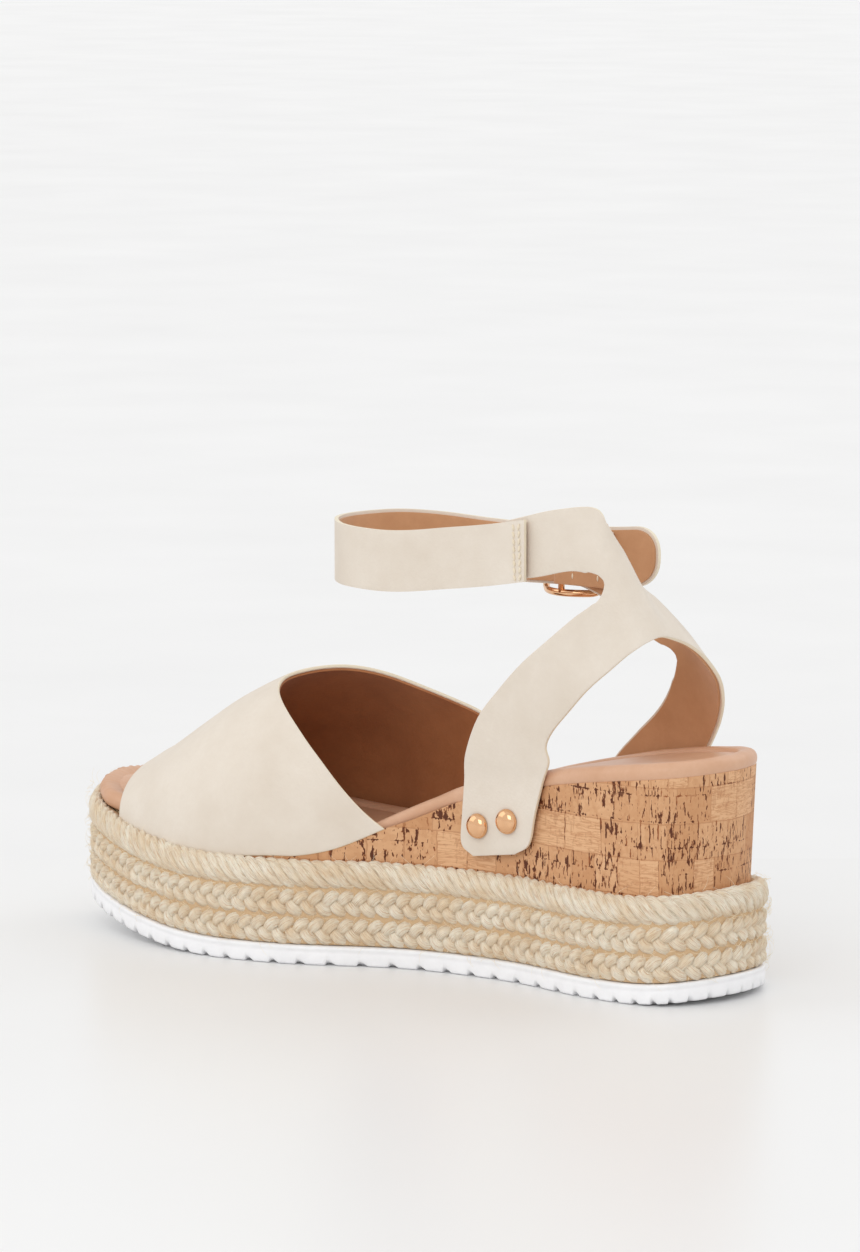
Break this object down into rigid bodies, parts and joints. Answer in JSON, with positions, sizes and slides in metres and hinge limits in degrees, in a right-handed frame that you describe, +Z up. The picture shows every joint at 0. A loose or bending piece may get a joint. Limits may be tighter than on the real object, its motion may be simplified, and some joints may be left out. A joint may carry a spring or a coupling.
{
  "type": "wedge sandal",
  "caption": "Peep-toe wedge sandal with cork-wrapped heel, jute-bound platform, leather vamp, one-piece heel quarter and a buckled ankle strap.",
  "frame": {"origin": "middle of the bounding box in plan, on the surface that the sole stands on", "axes": "+X from toe to heel, -Y towards the inner (medial) side of the foot, +Z up"},
  "size_m": [0.241, 0.092, 0.1416],
  "materials": {
    "outsole_rubber": "smooth white, slightly glossy",
    "core_foam": "moulded foam",
    "jute": "plaited natural jute",
    "cork": "cork patchwork with dark flecks",
    "fibre_board": "pressed fibre board",
    "tan_lining": "soft tan lining leather",
    "cream_leather": "matte cream leather",
    "brown_lining": "brown lining leather",
    "thread": "twisted sewing thread",
    "rose_gold": "polished rose gold plating"
  },
  "bodies": {
    "root": {"outsole": "outsole_rubber", "platform_core": "core_foam", "jute_braid_lower": "jute", "jute_braid_middle": "jute", "jute_braid_upper": "jute", "wedge_core": "core_foam", "cork_wrap": "cork", "insole_board": "fibre_board", "footbed_foam": "core_foam", "sock_lining": "tan_lining", "footbed_rim": "tan_lining", "vamp_outer": "cream_leather", "vamp_lining": "brown_lining", "quarter_outer": "cream_leather", "quarter_lining": "tan_lining", "ankle_strap_outer": "cream_leather", "ankle_strap_lining": "tan_lining", "seam_stitch_rear": "thread", "seam_stitch_front": "thread", "inner_front_stud": "rose_gold", "inner_rear_stud": "rose_gold", "outer_front_stud": "rose_gold", "outer_rear_stud": "rose_gold", "buckle_tab": "cream_leather"},
    "buckle": {"buckle_frame": "rose_gold"},
    "prong": {"buckle_prong": "rose_gold"}
  },
  "joints": [
    {"name": "buckle_swing", "type": "hinge", "parent": "root", "child": "buckle", "pos_m": [0.0306, 0.0298, 0.1189], "axis": [0, 0, 1], "range_deg": [-4, 4]},
    {"name": "prong_pivot", "type": "hinge", "parent": "buckle", "child": "prong", "pos_m": [0.0306, 0.0298, 0.1189], "axis": [0, 0, -1], "range_deg": [0, 18]}
  ]
}
